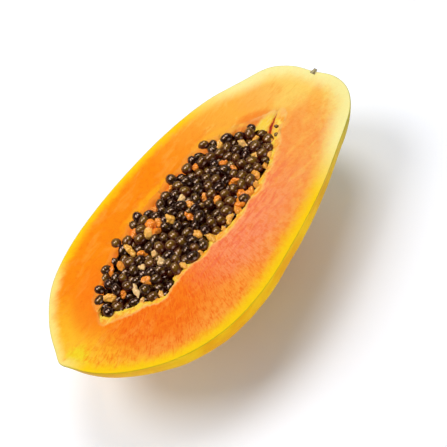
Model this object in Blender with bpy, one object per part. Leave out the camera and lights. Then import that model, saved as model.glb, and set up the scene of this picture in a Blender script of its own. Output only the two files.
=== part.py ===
# One half of a papaya, cut lengthwise and lying on its skin, with the cut face level on top.
# Lengths are in metres and +Z is up. +X points to the stem end, and +Y to the side with the thinner flesh.
# The fruit grew as one piece, so flesh and skin are one solid, with the seed cavity open in its cut face.
# The seeds with the pulp under them fill the cavity as a second solid, and a third is the dry stem scar.

import math
import random

import bmesh
import bpy
import numpy as np
from mathutils import Euler, Matrix, Vector

# Driving dimensions
LENGTH = 0.210  # blossom end to stem end
DEPTH = 0.0515  # resting spot to cut face
GAP = 0.0003  # clearance between pieces that lie against each other

# Cut face: a smooth closed line through these points, from the blossom end along the thick side and back
RIM_POINTS = (
    (-0.1050, 0.0073),
    (-0.1005, -0.0092),
    (-0.0885, -0.0257),
    (-0.0695, -0.0412),
    (-0.0455, -0.0507),
    (-0.0195, -0.0530),
    (0.0095, -0.0497),
    (0.0415, -0.0434),
    (0.0695, -0.0349),
    (0.0905, -0.0272),
    (0.1010, -0.0182),
    (0.1050, -0.0057),
    (0.1030, 0.0073),
    (0.0980, 0.0193),
    (0.0910, 0.0285),
    (0.0765, 0.0358),
    (0.0555, 0.0450),
    (0.0295, 0.0506),
    (-0.0005, 0.0529),
    (-0.0305, 0.0524),
    (-0.0565, 0.0488),
    (-0.0775, 0.0412),
    (-0.0925, 0.0288),
    (-0.1010, 0.0173),
)
RIM_STEPS = 96  # points round the cut face
FACE_SHIFT = 0.0012  # keeps the fruit centred once its ends have their dimple and nub
SKIN_RINGS = 13  # rings from the cut face down to the keel

# Underside
KEEL = Vector((-0.0010, 0.0013))  # lowest point, under the centre of mass
FLAT_SHARE = 0.13  # size of the flat resting spot, as a share of the cut face
LOBES = 5  # faint lengthwise lobes round a whole fruit
LOBE_RISE = 0.014  # how far a lobe rises, as a share of the radius

# Both ends
STEM_END = Vector((0.1045, 0.0043, DEPTH))
STEM_DIMPLE = 0.0022
STEM_DIMPLE_RADIUS = 0.0100
BLOSSOM_END = Vector((-0.1050, 0.0073, DEPTH))
BLOSSOM_NUB = 0.0014
BLOSSOM_NUB_RADIUS = 0.0045

# Seed cavity in the cut face, from its blossom tip along the thick side and back
CAVITY_POINTS = (
    (-0.0770, 0.0043),
    (-0.0615, -0.0057),
    (-0.0505, -0.0117),
    (-0.0345, -0.0130),
    (-0.0185, -0.0147),
    (-0.0005, -0.0165),
    (0.0145, -0.0167),
    (0.0305, -0.0147),
    (0.0465, -0.0097),
    (0.0615, -0.0032),
    (0.0730, 0.0038),
    (0.0635, 0.0108),
    (0.0525, 0.0178),
    (0.0405, 0.0248),
    (0.0225, 0.0288),
    (0.0025, 0.0296),
    (-0.0185, 0.0290),
    (-0.0385, 0.0275),
    (-0.0555, 0.0226),
    (-0.0695, 0.0143),
)
CAVITY_STEPS = 72
CAVITY_RINGS = 5
CAVITY_DEPTH = 0.0200
CAVITY_FLOOR = 0.12  # size of the cavity's flat floor, as a share of its edge
CAVITY_MIDDLE = Vector((-0.0045, 0.0068))
RAGGED_EDGE = 0.0007  # how far the torn pulp at the cavity's edge wanders
RAGGED_WAVES = ((7, 0.4), (13, 2.1), (21, 4.4))  # waves round the edge, and where each one starts

# Seeds, each a small egg in its skin, one layer deep on a bed of pulp
SEED_LONG = 0.0037  # half of a seed's length
SEED_WIDE = 0.0031  # half of its width
SEED_SPREAD = 0.12  # how much seeds differ in size
SEED_SPACING = 0.0047
SEED_ROOM = 0.0023  # from a seed's middle to the cavity's edge
SEED_TRIES = 9000
SEED_SIDES = 6
SEED_BANDS = 4
SEED_SINK = 0.0026  # how far the middle of a seed lies under the cut face
SEED_JITTER = 0.0008
BED_SINK = 0.0033  # top of the pulp under the cut face, at its edge
BED_MOUND = 0.0012  # how much higher it is in the middle
DRAW = 41  # fixed draw for the seeds

# Stem scar: the dry stub of the stem, halved by the cut
STUB_RADIUS = 0.0026
STUB_LENGTH = 0.0048
STUB_STANDS_OUT = 0.0012
STUB_SIDES = 12
STUB_BEVEL = 0.0005


def clear_scene():
    for item in list(bpy.data.objects):
        bpy.data.objects.remove(item, do_unlink=True)


def material(name, colour, roughness):
    made = bpy.data.materials.new(name)
    made.use_nodes = True
    shader = made.node_tree.nodes["Principled BSDF"]
    shader.inputs["Base Color"].default_value = (*colour, 1.0)
    shader.inputs["Roughness"].default_value = roughness
    shader.inputs["Metallic"].default_value = 0.0
    made.diffuse_color = (*colour, 1.0)
    return made


def mesh_object(name, mesh_maker, *materials):
    mesh = bpy.data.meshes.new(name)
    shape = bmesh.new()
    mesh_maker(shape)
    bmesh.ops.recalc_face_normals(shape, faces=shape.faces)
    shape.to_mesh(mesh)
    shape.free()
    for item in materials:
        mesh.materials.append(item)
    made = bpy.data.objects.new(name, mesh)
    bpy.context.scene.collection.objects.link(made)
    return made


def as_cutter(made):
    made.hide_render = True
    made.display_type = "WIRE"
    return made


def even_closed_line(points, count):
    # A smooth closed line through the points, then count points at even steps along it
    knots = np.array(points)
    ahead = np.roll(knots, -1, axis=0)
    gap_ahead = np.linalg.norm(ahead - knots, axis=1)[:, None]
    gap_behind = np.roll(gap_ahead, 1, axis=0)
    slope = (ahead - np.roll(knots, 1, axis=0)) / (gap_ahead + gap_behind)
    slope_ahead = np.roll(slope, -1, axis=0)
    pieces = []
    for t in np.linspace(0.0, 1.0, 24, endpoint=False):
        start = (1 + 2 * t) * (1 - t) ** 2 * knots + t * (1 - t) ** 2 * gap_ahead * slope
        end = t * t * (3 - 2 * t) * ahead + t * t * (t - 1) * gap_ahead * slope_ahead
        pieces.append(start + end)
    line = np.stack(pieces, axis=1).reshape(-1, 2)
    closed = np.vstack([line, line[:1]])
    along = np.concatenate([[0.0], np.cumsum(np.linalg.norm(np.diff(closed, axis=0), axis=1))])
    marks = np.linspace(0.0, along[-1], count, endpoint=False)
    return np.stack([np.interp(marks, along, closed[:, axis]) for axis in (0, 1)], axis=1)


def moved_inwards(line, distance):
    # Each point of a closed line that runs anticlockwise, moved square to the line by a distance
    direction = np.roll(line, -1, axis=0) - np.roll(line, 1, axis=0)
    direction /= np.linalg.norm(direction, axis=1)[:, None]
    inwards = np.stack([-direction[:, 1], direction[:, 0]], axis=1)
    varied = np.broadcast_to(np.asarray(distance), (len(line),))
    return line + inwards * varied[:, None]


def rim_line():
    line = even_closed_line(RIM_POINTS, RIM_STEPS)
    low, high = line.min(axis=0), line.max(axis=0)
    centred = (line - (low + high) / 2) * LENGTH / (high[0] - low[0])
    return centred + np.array((FACE_SHIFT, 0.0))


def cavity_line():
    line = even_closed_line(CAVITY_POINTS, CAVITY_STEPS)
    turn = np.linspace(0.0, 2 * math.pi, CAVITY_STEPS, endpoint=False)
    wander = sum(np.sin(waves * turn + start) for waves, start in RAGGED_WAVES)
    return moved_inwards(line, RAGGED_EDGE * wander)


def loft(shape, rings, material_index=0):
    # Joins rings of equal length side by side, and closes the first and the last one
    loops = [[shape.verts.new(point) for point in ring] for ring in rings]
    for upper, lower in zip(loops, loops[1:]):
        for i in range(len(upper)):
            j = (i + 1) % len(upper)
            face = shape.faces.new((upper[i], upper[j], lower[j], lower[i]))
            face.material_index = material_index
    shape.faces.new(loops[0])
    shape.faces.new(loops[-1]).material_index = material_index


def grown(point):
    # Adds the lobes, the dimple at the stem and the nub at the blossom end to a point of the plain skin
    below = DEPTH - point.z
    around = math.atan2(below, point.y)
    swell = 1 + LOBE_RISE * math.cos(LOBES * (around - math.pi / 2)) * math.sin(around)
    made = Vector((point.x, point.y * swell, DEPTH - below * swell))
    from_stem = (point - STEM_END).length / STEM_DIMPLE_RADIUS
    from_blossom = (point - BLOSSOM_END).length / BLOSSOM_NUB_RADIUS
    made.x -= STEM_DIMPLE * math.exp(-from_stem**2)
    made.x -= BLOSSOM_NUB * math.exp(-from_blossom**2)
    return made


def fruit_mesh(shape):
    # Rings of skin from the rim down to the small flat spot that the fruit rests on
    rim = rim_line()
    flat_turn = math.acos(FLAT_SHARE)
    plain_depth = DEPTH / (1 + LOBE_RISE) / math.sin(flat_turn)
    rings = []
    for step in range(SKIN_RINGS):
        down = flat_turn * step / (SKIN_RINGS - 1)
        ring = []
        for x, y in rim:
            place = KEEL.lerp(Vector((x, y)), math.cos(down))
            ring.append(grown(Vector((*place, DEPTH - plain_depth * math.sin(down)))))
        rings.append(ring)
    for point in rings[-1]:
        point.z = 0.0
    loft(shape, rings, material_index=1)


def bowl_rings(line, depth, first_level):
    # Rings of the cavity's bowl, from a level below the cut face down to its floor
    rings = []
    first = math.asin(first_level / depth)
    last = math.acos(CAVITY_FLOOR)
    for down in np.linspace(first, last, CAVITY_RINGS):
        ring = []
        for x, y in line:
            place = CAVITY_MIDDLE.lerp(Vector((x, y)), math.cos(down))
            ring.append(Vector((*place, DEPTH - depth * math.sin(down))))
        rings.append(ring)
    return rings


def cavity_mesh(clearance, height):
    # The cavity as a solid that also reaches above the cut face, smaller all over by a clearance
    def make(shape):
        line = moved_inwards(cavity_line(), clearance)
        top = [Vector((x, y, DEPTH + height)) for x, y in line]
        loft(shape, [top] + bowl_rings(line, CAVITY_DEPTH - clearance, 0.0))

    return make


def bed_mesh(shape):
    # The pulp under the seeds: the lower part of the cavity, with a low mound on top
    line = moved_inwards(cavity_line(), GAP)
    rings = bowl_rings(line, CAVITY_DEPTH - GAP, BED_SINK)
    middle = Vector((*CAVITY_MIDDLE, DEPTH - BED_SINK))
    inner = [point.lerp(middle, 0.5) + Vector((0, 0, BED_MOUND)) for point in rings[0]]
    loft(shape, [inner] + rings)


def edge_room(point, line):
    # Distance from a point to the nearest point of a closed line, negative outside it
    offset = line - np.array(point)
    ahead = np.roll(offset, -1, axis=0)
    turned = np.arctan2(
        offset[:, 0] * ahead[:, 1] - offset[:, 1] * ahead[:, 0], (offset * ahead).sum(axis=1)
    ).sum()
    distance = np.linalg.norm(offset, axis=1).min()
    return distance if turned > math.pi else -distance


def seed_places(draw):
    # Random places in the cavity that keep a seed's room to its edge and to each other
    line = even_closed_line(CAVITY_POINTS, 4 * CAVITY_STEPS)
    low, high = line.min(axis=0), line.max(axis=0)
    places = []
    for _ in range(SEED_TRIES):
        place = Vector((draw.uniform(low[0], high[0]), draw.uniform(low[1], high[1])))
        if any((place - other).length < SEED_SPACING for other in places):
            continue
        if edge_room(place, line) > SEED_ROOM:
            places.append(place)
    return places


def seed_object(index, place, draw, dark):
    size = 1 + SEED_SPREAD * draw.uniform(-1, 1)
    lean = Euler((draw.uniform(-0.5, 0.5), draw.uniform(-0.6, 0.6), draw.uniform(0, 2 * math.pi)))
    height = DEPTH - SEED_SINK + SEED_JITTER * draw.uniform(-1, 1)
    stretch = Matrix.Diagonal((SEED_LONG * size, SEED_WIDE * size, SEED_WIDE * size, 1))
    where = Matrix.Translation((*place, height)) @ lean.to_matrix().to_4x4() @ stretch

    def make(shape):
        bmesh.ops.create_uvsphere(
            shape, u_segments=SEED_SIDES, v_segments=SEED_BANDS, radius=1.0, matrix=where
        )

    return mesh_object(f"seed_{index:03d}", make, dark)


def boolean(made, operation, other):
    cut = made.modifiers.new(operation.lower(), "BOOLEAN")
    cut.operation = operation
    cut.solver = "EXACT"
    if isinstance(other, bpy.types.Collection):
        cut.operand_type = "COLLECTION"
        cut.collection = other
    else:
        cut.object = other


def apply_modifiers(made):
    graph = bpy.context.evaluated_depsgraph_get()
    mesh = bpy.data.meshes.new_from_object(made.evaluated_get(graph))
    made.modifiers.clear()
    made.data = mesh


def add_papaya_half():
    flesh = material("flesh", (0.93, 0.33, 0.05), 0.40)
    skin = material("skin", (0.72, 0.50, 0.04), 0.38)
    half = mesh_object("papaya_half", fruit_mesh, flesh, skin)
    cavity = as_cutter(mesh_object("cavity", cavity_mesh(0.0, 0.006), flesh))
    boolean(half, "DIFFERENCE", cavity)
    return half


def add_seed_mass():
    dark = material("seeds", (0.035, 0.022, 0.014), 0.18)
    draw = random.Random(DRAW)
    mass = mesh_object("seed_mass", bed_mesh, dark)
    layer = bpy.data.collections.new("seed_layer")
    bpy.context.scene.collection.children.link(layer)
    for index, place in enumerate(seed_places(draw)):
        seed = seed_object(index, place, draw, dark)
        bpy.context.scene.collection.objects.unlink(seed)
        layer.objects.link(seed)
    limit = as_cutter(mesh_object("seed_limit", cavity_mesh(GAP, 0.010)))
    boolean(mass, "UNION", layer)
    boolean(mass, "INTERSECT", limit)
    apply_modifiers(mass)
    for item in list(layer.objects) + [limit]:
        bpy.data.objects.remove(item, do_unlink=True)
    bpy.data.collections.remove(layer)
    return mass


def stub_mesh(clearance, height):
    # A short round stub along X, halved level with the cut face or carried on above it by a height
    def make(shape):
        outer = STEM_END.x - STEM_DIMPLE + STUB_STANDS_OUT
        half_turn = [math.pi * i / STUB_SIDES for i in range(STUB_SIDES + 1)]
        radius = STUB_RADIUS + clearance
        section = [(radius * math.cos(turn), -radius * math.sin(turn)) for turn in half_turn]
        if height > 0:
            section += [(-radius, height), (radius, height)]
        inner = outer - STUB_LENGTH - clearance
        end = [shape.verts.new((inner, STEM_END.y + y, DEPTH + z)) for y, z in section]
        face = shape.faces.new(end)
        length = STUB_LENGTH + clearance + height
        out = bmesh.ops.extrude_face_region(shape, geom=[face])["geom"]
        moved = [item for item in out if isinstance(item, bmesh.types.BMVert)]
        bmesh.ops.translate(shape, verts=moved, vec=(length, 0, 0))

    return make


def add_stem_stub(half):
    wood = material("dry_stem", (0.16, 0.14, 0.06), 0.85)
    stub = mesh_object("stem_stub", stub_mesh(0.0, 0.0), wood)
    rounding = stub.modifiers.new("worn_edges", "BEVEL")
    rounding.width = STUB_BEVEL
    rounding.segments = 2
    rounding.limit_method = "ANGLE"
    socket = as_cutter(mesh_object("stub_socket", stub_mesh(GAP, 0.006)))
    boolean(half, "DIFFERENCE", socket)
    return stub


def shade(made, sharp_degrees):
    made.data.shade_smooth()
    made.data.set_sharp_from_angle(angle=math.radians(sharp_degrees))


clear_scene()
papaya_half = add_papaya_half()
seed_mass = add_seed_mass()
stem_stub = add_stem_stub(papaya_half)
apply_modifiers(papaya_half)
shade(papaya_half, 40)
shade(seed_mass, 50)
shade(stem_stub, 40)
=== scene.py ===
import math

import bmesh
import bpy
import numpy as np
from mathutils import Matrix, Vector, noise


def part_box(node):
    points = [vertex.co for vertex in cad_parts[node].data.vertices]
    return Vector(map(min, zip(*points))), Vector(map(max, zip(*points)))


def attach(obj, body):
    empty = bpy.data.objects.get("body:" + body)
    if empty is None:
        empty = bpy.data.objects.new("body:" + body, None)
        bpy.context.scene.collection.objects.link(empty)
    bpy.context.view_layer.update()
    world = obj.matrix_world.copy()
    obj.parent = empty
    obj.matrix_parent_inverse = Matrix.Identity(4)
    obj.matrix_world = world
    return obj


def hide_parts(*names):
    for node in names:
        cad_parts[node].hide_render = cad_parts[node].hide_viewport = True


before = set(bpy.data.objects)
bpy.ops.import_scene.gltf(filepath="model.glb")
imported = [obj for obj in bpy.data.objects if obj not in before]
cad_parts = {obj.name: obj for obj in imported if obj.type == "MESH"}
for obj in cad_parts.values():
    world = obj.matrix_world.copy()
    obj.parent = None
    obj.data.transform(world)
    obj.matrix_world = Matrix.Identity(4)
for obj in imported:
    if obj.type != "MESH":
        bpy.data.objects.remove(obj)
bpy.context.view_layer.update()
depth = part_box("papaya_half")[1].z  # from the cut face down to the resting spot
stubLow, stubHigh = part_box("stem_stub")
mm = 0.001
print("frame loaded:", sorted(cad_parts))


# Colours are written as they look on a screen, 0 to 255, and turned into a shader's linear values
def rgb(red, green, blue):
    shares = [level / 255 for level in (red, green, blue)]
    return tuple(s / 12.92 if s <= 0.04045 else ((s + 0.055) / 1.055) ** 2.4 for s in shares) + (1.0,)


# One socket of a node tree: arithmetic on it adds Math nodes
class Wire:
    def __init__(self, tree, port):
        self.tree = tree
        self.port = port

    def math(self, operation, *values):
        return self.tree.node("ShaderNodeMath", {"operation": operation}, dict(enumerate(values)))

    def __add__(self, other):
        return self.math("ADD", self, other)

    def __sub__(self, other):
        return self.math("SUBTRACT", self, other)

    def __rsub__(self, other):
        return self.math("SUBTRACT", other, self)

    def __mul__(self, other):
        return self.math("MULTIPLY", self, other)

    def __truediv__(self, other):
        return self.math("DIVIDE", self, other)

    def __rtruediv__(self, other):
        return self.math("DIVIDE", other, self)

    def __neg__(self):
        return self.math("MULTIPLY", self, -1.0)

    def __abs__(self):
        return self.math("ABSOLUTE", self)

    def root(self):
        return self.math("SQRT", self)

    __radd__ = __add__
    __rmul__ = __mul__


# A node tree of a material or of a Geometry Nodes modifier
class Tree:
    def __init__(self, nodeTree):
        self.nodeTree = nodeTree

    def node(self, kind, settings=None, inputs=None, out=0):
        made = self.nodeTree.nodes.new(kind)
        for key, value in (settings or {}).items():
            setattr(made, key, value)
        for key, value in (inputs or {}).items():
            port = made.inputs[key]
            if isinstance(value, Wire):
                self.nodeTree.links.new(value.port, port)
            else:
                port.default_value = value
        return Wire(self, made.outputs[out]) if len(made.outputs) else made

    def ramp(self, value, low, high):  # 0 at low to 1 at high, smooth; low may be the larger
        ports = {"Value": value, "From Min": low, "From Max": high}
        return self.node("ShaderNodeMapRange", {"interpolation_type": "SMOOTHSTEP"}, ports)

    def mix(self, share, first, second, blend="MIX"):
        settings = {"data_type": "RGBA", "blend_type": blend}
        return self.node("ShaderNodeMix", settings, {0: share, 6: first, 7: second}, out=2)

    def scaled(self, vector, sizes):  # a vector times another, part by part
        ports = {0: vector, 1: sizes}
        return self.node("ShaderNodeVectorMath", {"operation": "MULTIPLY"}, ports)

    def shaded(self, colour, share):
        return self.node("ShaderNodeVectorMath", {"operation": "SCALE"}, {0: colour, "Scale": share})

    def tinted(self, colour, shares):
        return self.mix(1.0, colour, (*shares, 1.0), "MULTIPLY")

    def noise(self, vector, size, detail=3.0, rough=0.5, warp=0.0):  # size in the vector's units
        ports = {"Vector": vector, "Scale": 1 / size, "Detail": detail, "Roughness": rough}
        ports["Distortion"] = warp
        return self.node("ShaderNodeTexNoise", {}, ports)

    def attribute(self, name, out="Fac"):
        return self.node("ShaderNodeAttribute", {"attribute_name": name}, {}, out)


# A material whose shader takes numbers and wires alike; its colour is painted in layers
class Finish(Tree):
    def __init__(self, name):
        self.material = bpy.data.materials.new(name)
        self.material.use_nodes = True
        super().__init__(self.material.node_tree)
        self.nodeTree.nodes.clear()
        self.place = self.scaled(self.node("ShaderNodeTexCoord", {}, {}, "Object"), (1 / mm,) * 3)
        axes = self.nodeTree.nodes.new("ShaderNodeSeparateXYZ")
        self.nodeTree.links.new(self.place.port, axes.inputs[0])
        self.x, self.y, self.z = [Wire(self, port) for port in axes.outputs]  # millimetres

    def marks(self, size, *looks, stretch=1.0):  # noise, drawn out along the fruit where stretch is below 1
        place = self.place if stretch == 1.0 else self.scaled(self.place, (stretch, 1.0, 1.0))
        return self.noise(place, size, *looks)

    def paint(self, share, tint):  # over the colour so far
        self.colour = self.mix(share, self.colour, tint)

    def glaze(self, share, shares):  # tints the colour so far
        self.paint(share, self.tinted(self.colour, shares))

    def bump(self, height, distance, strength=1.0):  # distance in millimetres
        ports = {"Height": height, "Distance": distance * mm, "Strength": strength}
        return self.node("ShaderNodeBump", {}, ports)

    def close(self, **looks):
        ports = {key.replace("_", " "): value for key, value in looks.items()}
        shader = self.node("ShaderNodeBsdfPrincipled", {}, ports)
        self.node("ShaderNodeOutputMaterial", {}, {"Surface": shader})
        return self.material


def newObject(name, data):
    made = bpy.data.objects.new(name, data)
    bpy.context.scene.collection.objects.link(made)
    return made


# Camera, as the photograph sees the cut face
view = {
    "azimuth": -31.9,
    "elevation": 57.0,
    "roll": -22.8,
    "distance": 0.537,
    "target": (0.0006, -0.0126, depth),
    "lens": 85.0,
    "sensor": 36.0,
    "clip": (0.01, 20.0),
}


def makeCamera():
    turn, tilt, roll = [math.radians(view[key]) for key in ("azimuth", "elevation", "roll")]
    flat = math.cos(tilt)
    back = Vector((math.sin(turn) * flat, -math.cos(turn) * flat, math.sin(tilt)))
    level = Vector((math.cos(turn), math.sin(turn), 0))
    over = back.cross(level)
    right = math.cos(roll) * level + math.sin(roll) * over
    up = back.cross(right)
    data = bpy.data.cameras.new("camera")
    data.lens, data.sensor_width = view["lens"], view["sensor"]
    data.clip_start, data.clip_end = view["clip"]
    camera = newObject("camera", data)
    spot = Vector(view["target"]) + back * view["distance"]
    camera.matrix_world = Matrix.Translation(spot) @ Matrix((right, up, back)).transposed().to_4x4()
    bpy.context.scene.camera = camera


# Shapes that the pieces share, as the solids have them; metres, unless a note says millimetres
fruit = {
    "length": 0.210,
    "faceShift": 0.0012,
    "keel": (-0.0010, 0.0013),  # lowest point
    "flatShare": 0.13,  # size of the resting spot, as a share of the cut face
    "spotRings": (0.35, 0.7),  # rings of points inside that spot
    "lobes": 5,
    "lobeRise": 0.014,
    "stemEnd": (0.1045, 0.0043),
    "stemDimple": (0.0022, 0.0100),  # depth and radius
    "blossomEnd": (-0.1050, 0.0073),
    "blossomNub": (0.0014, 0.0045),  # height and radius
    "cavityMiddle": (-0.0045, 0.0068),
    "cavityDepth": 0.0200,
    "cavityFloor": 0.12,  # size of its floor, as a share of its edge
    "cavityWaves": ((7, 0.4), (13, 2.1), (21, 4.4)),  # waves round its edge, and where each one starts
    "cavityWaveRise": 0.0006,
    "nicks": (0.0005, 0.0022, 2),  # height, size and octaves of noise
    "lip": 0.0022,  # from the flat of the cut face to the cavity's edge
    "columns": 600,  # points round the rim
    "skinRows": 64,
    "faceRows": 46,
    "faceEase": 0.09,  # lets the rows lie closer at both edges
    "wallRows": 18,
    "wallStart": 1.6,  # depth of the wall's first row, as a share of edgeRound
    "rimRound": 0.0004,
    "rimTurns": (30, 60, 90),
    "edgeRound": 0.0008,
    "edgeTurns": (0, 22, 45, 60, 75, 90),
    "knife": (0.00022, 0.018, 3, 0.0),  # waves left by the knife: height, size, octaves and shift of noise
    "knifeStretch": (0.35, 1.0, 1.0),
    "pores": (0.00007, 0.0016, 2, 3.0),
    "faceSink": 0.0001,
    "rimFade": 0.002,  # the relief fades out this near the rim, the cavity and the edge of the skin
    "pitFade": 0.001,
    "pitLeast": 0.3,
    "skinFade": 0.004,
    "torn": (0.0005, 0.0035, 3, 5.0),
    "dents": (0.00035, 0.022, 2, 9.0),
    "skinSink": 0.0003,
    "ring": 84.0,  # millimetres, radius of the ring that the pattern of fibres is laid round
}
rimPoints = (
    (-0.1050, 0.0073),
    (-0.1005, -0.0092),
    (-0.0885, -0.0257),
    (-0.0695, -0.0412),
    (-0.0455, -0.0507),
    (-0.0195, -0.0530),
    (0.0095, -0.0497),
    (0.0415, -0.0434),
    (0.0695, -0.0349),
    (0.0905, -0.0272),
    (0.1010, -0.0182),
    (0.1050, -0.0057),
    (0.1030, 0.0073),
    (0.0980, 0.0193),
    (0.0910, 0.0285),
    (0.0765, 0.0358),
    (0.0555, 0.0450),
    (0.0295, 0.0506),
    (-0.0005, 0.0529),
    (-0.0305, 0.0524),
    (-0.0565, 0.0488),
    (-0.0775, 0.0412),
    (-0.0925, 0.0288),
    (-0.1010, 0.0173),
)
cavityPoints = (
    (-0.0770, 0.0043),
    (-0.0615, -0.0057),
    (-0.0505, -0.0117),
    (-0.0345, -0.0130),
    (-0.0185, -0.0147),
    (-0.0005, -0.0165),
    (0.0145, -0.0167),
    (0.0305, -0.0147),
    (0.0465, -0.0097),
    (0.0615, -0.0032),
    (0.0730, 0.0038),
    (0.0635, 0.0108),
    (0.0525, 0.0178),
    (0.0405, 0.0248),
    (0.0225, 0.0288),
    (0.0025, 0.0296),
    (-0.0185, 0.0290),
    (-0.0385, 0.0275),
    (-0.0555, 0.0226),
    (-0.0695, 0.0143),
)


def evenClosedLine(points, count, steps=40):  # smooth and closed, through the points, sampled evenly
    knots = np.array(points)
    ahead = np.roll(knots, -1, axis=0)
    gapAhead = np.linalg.norm(ahead - knots, axis=1)[:, None]
    gapBehind = np.roll(gapAhead, 1, axis=0)
    slope = (ahead - np.roll(knots, 1, axis=0)) / (gapAhead + gapBehind)
    slopeAhead = np.roll(slope, -1, axis=0)
    pieces = []
    for t in np.linspace(0.0, 1.0, steps, endpoint=False):
        start = (1 + 2 * t) * (1 - t) ** 2 * knots + t * (1 - t) ** 2 * gapAhead * slope
        end = t * t * (3 - 2 * t) * ahead + t * t * (t - 1) * gapAhead * slopeAhead
        pieces.append(start + end)
    line = np.stack(pieces, axis=1).reshape(-1, 2)
    closed = np.vstack([line, line[:1]])
    along = np.concatenate([[0.0], np.cumsum(np.linalg.norm(np.diff(closed, axis=0), axis=1))])
    marks = np.linspace(0.0, along[-1], count, endpoint=False)
    return np.stack([np.interp(marks, along, closed[:, axis]) for axis in (0, 1)], axis=1)


def movedInwards(line, distance):
    direction = np.roll(line, -1, axis=0) - np.roll(line, 1, axis=0)
    direction /= np.linalg.norm(direction, axis=1)[:, None]
    inwards = np.stack([-direction[:, 1], direction[:, 0]], axis=1)
    return line + inwards * np.broadcast_to(np.asarray(distance), (len(line),))[:, None]


def rimLine(count):
    line = evenClosedLine(rimPoints, count)
    low, high = line.min(axis=0), line.max(axis=0)
    centred = (line - (low + high) / 2) * fruit["length"] / (high[0] - low[0])
    return centred + np.array((fruit["faceShift"], 0.0))


def fractal(points, size, octaves=3, shift=0.0):  # smooth noise at each point, about -1 to 1
    offset = Vector((shift, shift * 0.7, -shift))
    fade, closer = 0.9, 2.0  # each octave against the one before
    return np.array([noise.fractal(Vector(p) / size + offset, fade, closer, octaves) for p in points])


def relief(points, height, size, octaves, shift=0.0):
    return height * fractal(points, size, octaves, shift)


def rise(values, start, width):  # 0 up to the start, and 1 from one width on
    return np.clip((values - start) / width, 0, 1)


def atHeight(line, height):
    return np.column_stack([line, np.broadcast_to(height, (len(line),))])


def cavityLine(count):  # its torn edge wanders as the solid's does, with finer nicks on top
    line = evenClosedLine(cavityPoints, count)
    turn = np.linspace(0.0, 2 * math.pi, count, endpoint=False)
    wander = sum(np.sin(waves * turn + start) for waves, start in fruit["cavityWaves"])
    nicks = relief(atHeight(line, 0.0), *fruit["nicks"])
    return movedInwards(line, fruit["cavityWaveRise"] * wander + nicks)


def towards(points, line):  # distance inside a closed line, less than 0 outside it, and the way inwards
    best, gap, way = np.full(len(points), np.inf), np.zeros(len(points)), np.zeros((len(points), 2))
    for start, end in zip(line, np.roll(line, -1, axis=0)):
        along = end - start
        share = np.clip((points - start) @ along / (along @ along), 0, 1)
        apart = points - start - share[:, None] * along
        distance = np.hypot(*apart.T)
        inwards = np.array((-along[1], along[0])) / math.hypot(*along)
        nearer = distance < best
        best[nearer] = distance[nearer]
        gap[nearer] = np.where(apart[nearer] @ inwards < 0, -distance[nearer], distance[nearer])
        way[nearer] = inwards
    return gap, way


def addPiece(name, mesh, body="root"):
    piece = newObject(name, mesh)
    mesh.shade_smooth()
    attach(piece, body)
    return piece


def pointOutwards(mesh):
    shape = bmesh.new()
    shape.from_mesh(mesh)
    bmesh.ops.recalc_face_normals(shape, faces=shape.faces)
    shape.to_mesh(mesh)
    shape.free()


def gridMesh(name, rows, materialRows=None):  # closed rows of points, joined, and a fan at each end
    count = len(rows[0])
    points = np.vstack([rows[0].mean(axis=0)[None], *rows, rows[-1].mean(axis=0)[None]])
    faces, picks = [], []
    for row in range(len(rows) - 1):
        first = 1 + row * count
        for i in range(count):
            j = (i + 1) % count
            faces.append((first + i, first + j, first + count + j, first + count + i))
            picks.append(0 if materialRows is None else materialRows[row])
    last = 1 + (len(rows) - 1) * count
    for i in range(count):
        j = (i + 1) % count
        faces.append((0, 1 + j, 1 + i))
        faces.append((len(points) - 1, last + i, last + j))
        picks += [picks[0], picks[(len(rows) - 2) * count]]
    mesh = bpy.data.meshes.new(name)
    mesh.from_pydata([tuple(p) for p in points], [], faces)
    mesh.polygons.foreach_set("material_index", picks)
    pointOutwards(mesh)
    mesh.update()
    return mesh, points


def store(mesh, name, values, kind="FLOAT"):
    attribute = mesh.attributes.new(name, kind, "POINT")
    key = "value" if kind == "FLOAT" else "vector"
    attribute.data.foreach_set(key, np.asarray(values, np.float32).ravel())


# The half fruit: one closed mesh, from the resting spot over the rim and the cut face into the cavity
def grown(points):  # lobes along the fruit, the dimple at the stem and the nub at the blossom end
    below = depth - points[:, 2]
    around = np.arctan2(below, points[:, 1])
    swell = 1 + fruit["lobeRise"] * np.cos(fruit["lobes"] * (around - math.pi / 2)) * np.sin(around)
    made = np.stack([points[:, 0], points[:, 1] * swell, depth - below * swell], axis=1)
    for end, (size, radius) in (("stemEnd", fruit["stemDimple"]), ("blossomEnd", fruit["blossomNub"])):
        gap = np.linalg.norm(points - np.array((*fruit[end], depth)), axis=1) / radius
        made[:, 0] -= size * np.exp(-gap**2)
    return made


def skinRow(rim, down, plainDepth):  # down is the row's angle below the rim, plainDepth has no lobes
    keel = np.array(fruit["keel"])
    place = keel + (rim - keel) * math.cos(down)
    height = np.full(len(rim), depth - plainDepth * math.sin(down))
    return grown(np.column_stack([place, height]))


def skinRows(rim, flatTurn, plainDepth):  # from the resting spot up to the rim
    spot = skinRow(rim, flatTurn, plainDepth)
    centre = spot.mean(axis=0)
    rows = [centre + (spot - centre) * share for share in fruit["spotRings"]]
    flatCount = len(rows) + 1
    firstDown = fruit["rimRound"] / plainDepth
    for down in np.linspace(flatTurn, firstDown, fruit["skinRows"]):
        rows.append(skinRow(rim, down, plainDepth))
    for row in rows[:flatCount]:
        row[:, 2] = 0.0
    return rows


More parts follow.
